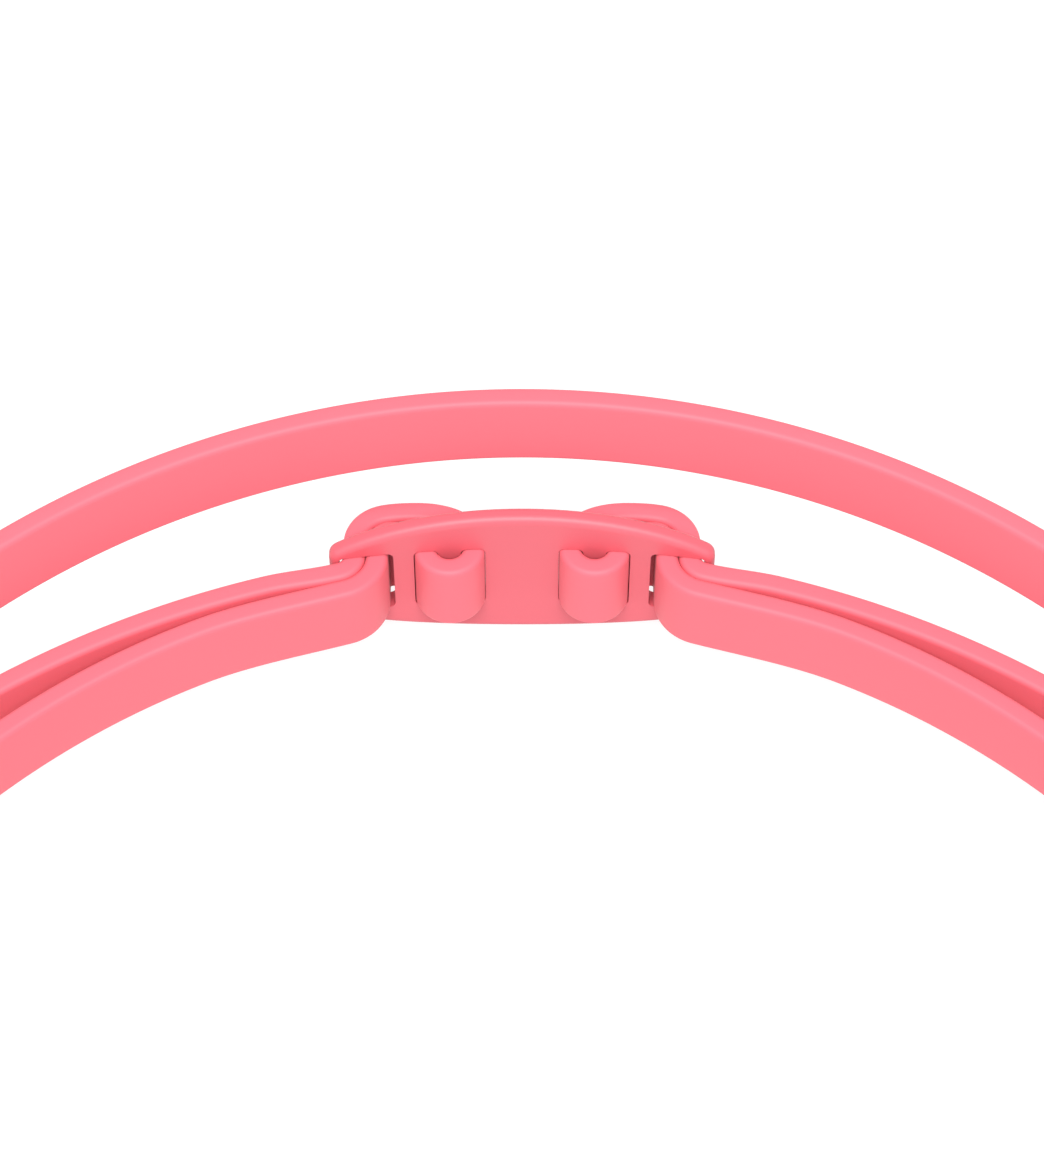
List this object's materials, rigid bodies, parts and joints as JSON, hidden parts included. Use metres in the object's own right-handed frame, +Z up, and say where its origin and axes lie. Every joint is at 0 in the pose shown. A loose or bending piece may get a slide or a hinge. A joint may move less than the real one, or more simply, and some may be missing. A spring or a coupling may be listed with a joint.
{
  "type": "swim goggles",
  "caption": "Swim goggles with two lensed cups, soft seals and a doubled silicone strap threaded through a slotted clip behind the head.",
  "frame": {"origin": "middle of the footprint, on the surface that the goggles stand on", "axes": "+X to the wearer's right as seen from the front, +Y from the lenses to the back of the head, +Z up"},
  "size_m": [0.1548, 0.173, 0.0364],
  "materials": {
    "strap_silicone": "satin",
    "clip_plastic": "satin",
    "frame_plastic": "satin",
    "bezel_plastic": "gloss",
    "lens_tint": "gloss",
    "seal_silicone": "matte"
  },
  "bodies": {
    "front": {"frame_left": "frame_plastic", "bezel_left": "bezel_plastic", "lens_left": "lens_tint", "gasket_left": "seal_silicone", "bridge_pin_left": "bezel_plastic", "strap_temple_loop_left": "strap_silicone", "frame_right": "frame_plastic", "bezel_right": "bezel_plastic", "lens_right": "lens_tint", "gasket_right": "seal_silicone", "bridge_pin_right": "bezel_plastic", "strap_temple_loop_right": "strap_silicone", "nose_bridge": "seal_silicone"},
    "upper_band": {"strap_upper_band": "strap_silicone"},
    "lower_band": {"rear_clip": "clip_plastic", "strap_lower_left": "strap_silicone", "strap_lower_right": "strap_silicone", "strap_weave_left": "strap_silicone", "strap_weave_right": "strap_silicone"},
    "tail_left": {"strap_tail_left": "strap_silicone"},
    "tail_right": {"strap_tail_right": "strap_silicone"}
  },
  "joints": [
    {"name": "upper_band_swing", "type": "hinge", "parent": "front", "child": "upper_band", "pos_m": [0, -0.06765, 0.01653], "axis": [1, 0, 0], "range_deg": [0, 35]},
    {"name": "lower_band_swing", "type": "hinge", "parent": "front", "child": "lower_band", "pos_m": [0, -0.06765, 0.01653], "axis": [1, 0, 0], "range_deg": [-25, 0]},
    {"name": "tail_left_peel", "type": "hinge", "parent": "lower_band", "child": "tail_left", "pos_m": [-0.024, 0.07626, 0.00843], "axis": [0, 0, 1], "range_deg": [-35, 0]},
    {"name": "tail_right_peel", "type": "hinge", "parent": "lower_band", "child": "tail_right", "pos_m": [0.024, 0.07626, 0.00843], "axis": [0, 0, 1], "range_deg": [0, 35]}
  ]
}
